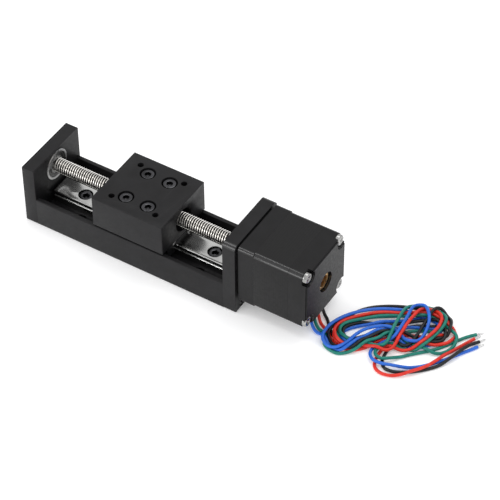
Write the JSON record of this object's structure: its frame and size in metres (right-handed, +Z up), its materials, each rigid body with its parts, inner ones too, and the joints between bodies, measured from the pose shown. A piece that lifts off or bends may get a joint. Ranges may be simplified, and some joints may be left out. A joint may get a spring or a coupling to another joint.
{
  "type": "ball screw linear module",
  "caption": "Short ball screw linear module: black channel with a recirculating-ball guide, drilled slide table, ball screw between end plates, square stepper motor, loose coloured leads.",
  "frame": {"origin": "middle of the channel's underside", "axes": "+X along the travel towards the motor, +Y across, +Z up out of the slide table"},
  "size_m": [0.1852, 0.04, 0.0347],
  "materials": {
    "black_anodised": "matt black anodised, machined",
    "black_oxide": "black oxide",
    "ground_steel": "ground bearing steel",
    "sheet_steel": "bright zinc",
    "ball_steel": "polished",
    "brass": "turned",
    "black_plastic": "moulded",
    "wiper_plastic": "moulded brown polymer",
    "laminations": "stacked sheet, blackened",
    "magnet": "sintered",
    "copper": "enamelled wire",
    "tinned_copper": "tinned",
    "lead_blue": "insulation",
    "lead_green": "insulation",
    "lead_red": "insulation",
    "lead_black": "insulation",
    "lead_mixed": "four coloured leads folded together"
  },
  "bodies": {
    "base": {"base_channel": "black_anodised", "end_plate": "black_anodised", "motor_plate": "black_anodised", "end_plate_screws": "black_oxide", "motor_plate_screws": "black_oxide", "guide_rail": "ground_steel", "rail_screws": "black_oxide", "free_bearing_outer": "ground_steel", "free_bearing_shields": "sheet_steel", "motor_front_cap": "black_anodised", "stator_stack": "laminations", "stator_windings": "copper", "motor_rear_cap": "black_anodised", "motor_long_screws": "sheet_steel", "motor_mount_screws": "black_oxide", "front_bearing_outer": "ground_steel", "rear_bearing_outer": "ground_steel", "motor_bearing_shields": "sheet_steel", "wave_spring": "sheet_steel", "lead_bush": "black_plastic", "lead_blue_start": "lead_blue", "lead_green_start": "lead_green", "lead_red_start": "lead_red", "lead_black_start": "lead_black", "lead_hank": "lead_mixed", "lead_blue_tail": "lead_blue", "lead_green_tail": "lead_green", "lead_red_tail": "lead_red", "lead_black_tail": "lead_black", "tinned_ends": "tinned_copper"},
    "drive": {"ball_screw": "ground_steel", "rotor_sleeve": "brass", "rotor_cups": "laminations", "rotor_magnet": "magnet", "free_bearing_inner": "ground_steel", "front_bearing_inner": "ground_steel", "rear_bearing_inner": "ground_steel"},
    "carriage": {"slide_table": "black_anodised", "table_screws": "black_oxide", "guide_block": "ground_steel", "block_cap_free": "black_plastic", "block_cap_motor": "black_plastic", "block_seals": "black_plastic", "block_cap_screws": "sheet_steel", "block_balls": "ball_steel", "ball_nut": "ground_steel", "nut_screws": "black_oxide", "nut_balls": "ball_steel", "nut_wipers": "wiper_plastic"},
    "free_bearing_cage_set": {"free_bearing_balls": "ball_steel", "free_bearing_cage": "brass"},
    "motor_bearing_cage_sets": {"motor_bearing_balls": "ball_steel", "motor_bearing_cages": "brass"}
  },
  "joints": [
    {"name": "carriage_slide", "type": "slide", "parent": "base", "child": "carriage", "axis": [1, 0, 0], "range_m": [-0.025, 0.025]},
    {"name": "screw_spin", "type": "hinge", "parent": "base", "child": "drive", "pos_m": [0, 0, 0.0203], "axis": [1, 0, 0], "range_deg": [-9400, 9400]},
    {"name": "free_cage_spin", "type": "hinge", "parent": "base", "child": "free_bearing_cage_set", "pos_m": [-0.0454, 0, 0.0203], "axis": [1, 0, 0], "range_deg": [-3780, 3780]},
    {"name": "motor_cage_spin", "type": "hinge", "parent": "base", "child": "motor_bearing_cage_sets", "pos_m": [0.064, 0, 0.0203], "axis": [1, 0, 0], "range_deg": [-4240, 4240]}
  ],
  "couplings": [
    {"joint": "screw_spin", "follows": "carriage_slide", "rad_per_m": -6283.2},
    {"joint": "free_cage_spin", "follows": "carriage_slide", "rad_per_m": -2338},
    {"joint": "motor_cage_spin", "follows": "carriage_slide", "rad_per_m": -2603.1}
  ]
}
